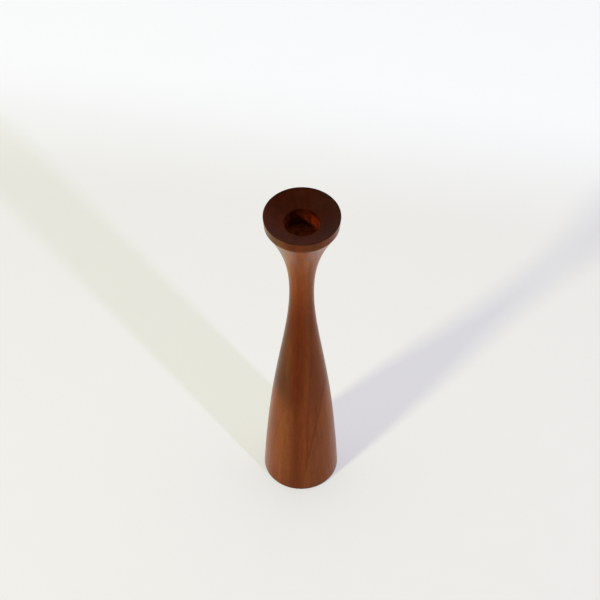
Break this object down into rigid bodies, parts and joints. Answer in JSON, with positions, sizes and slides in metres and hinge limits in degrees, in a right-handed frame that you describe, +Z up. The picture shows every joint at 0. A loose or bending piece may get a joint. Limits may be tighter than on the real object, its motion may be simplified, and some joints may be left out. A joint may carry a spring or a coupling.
{
  "type": "dip pen holder",
  "caption": "Turned hardwood stand in candlestick form: swelling foot, slender neck and dished head with a round blind socket that holds a dip pen or a taper upright.",
  "frame": {"origin": "centre of the felt pad's underside, on the surface the stand rests on", "axes": "+Z up along the turning axis, from the foot to the socket; X and Y are equivalent, and the growth rings of the wood run nearly parallel to the YZ plane"},
  "size_m": [0.0498, 0.0498, 0.25],
  "materials": {
    "oiled_hardwood": "satin oiled, red-brown, lengthways grain",
    "slug_steel": "turned bar, sawn ends, lightly oxidised",
    "screw_steel": "bright zinc plated",
    "pad_felt": "matte pressed wool felt, dark brown"
  },
  "bodies": {
    "root": {"turned_body": "oiled_hardwood", "ballast_slug": "slug_steel", "ballast_screw": "screw_steel", "felt_pad": "pad_felt"}
  },
  "joints": []
}
